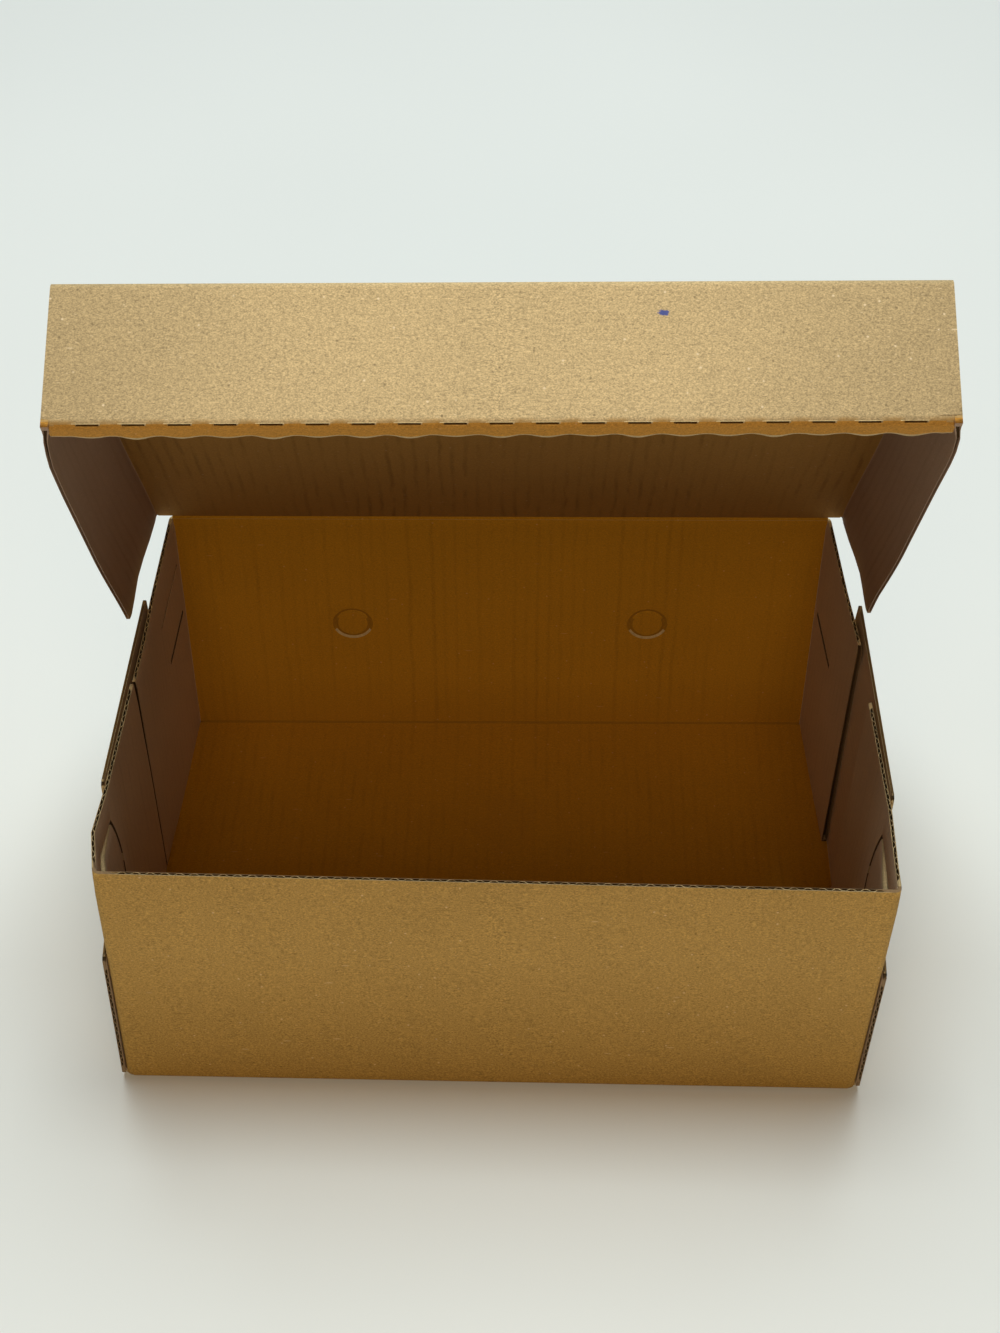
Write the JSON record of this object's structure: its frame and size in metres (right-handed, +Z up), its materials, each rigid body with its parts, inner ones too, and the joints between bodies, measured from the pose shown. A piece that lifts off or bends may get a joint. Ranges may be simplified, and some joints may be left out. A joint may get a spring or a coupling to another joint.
{
  "type": "hinged-lid corrugated carton",
  "caption": "Brown corrugated carton folded from one sheet: an open tray with layered side walls and a hinged lid whose rolled skirt and side flaps close over it.",
  "frame": {"origin": "middle of the underside of the bottom panel", "axes": "+Z up, the front wall faces -Y, the lid's hinge lies along X over the rear wall"},
  "size_m": [0.2002, 0.1344, 0.2076],
  "materials": {
    "kraft_tray": "matte brown kraft liner, uncoated",
    "kraft_lid": "matte brown kraft liner, uncoated"
  },
  "bodies": {
    "tray": {"tray": "kraft_tray"},
    "lid": {"lid": "kraft_lid"}
  },
  "joints": [
    {"name": "lid_hinge", "type": "hinge", "parent": "tray", "child": "lid", "pos_m": [0, 0.0665, 0.0841], "axis": [-1, 0, 0], "range_deg": [-61.5, 118.5]}
  ]
}
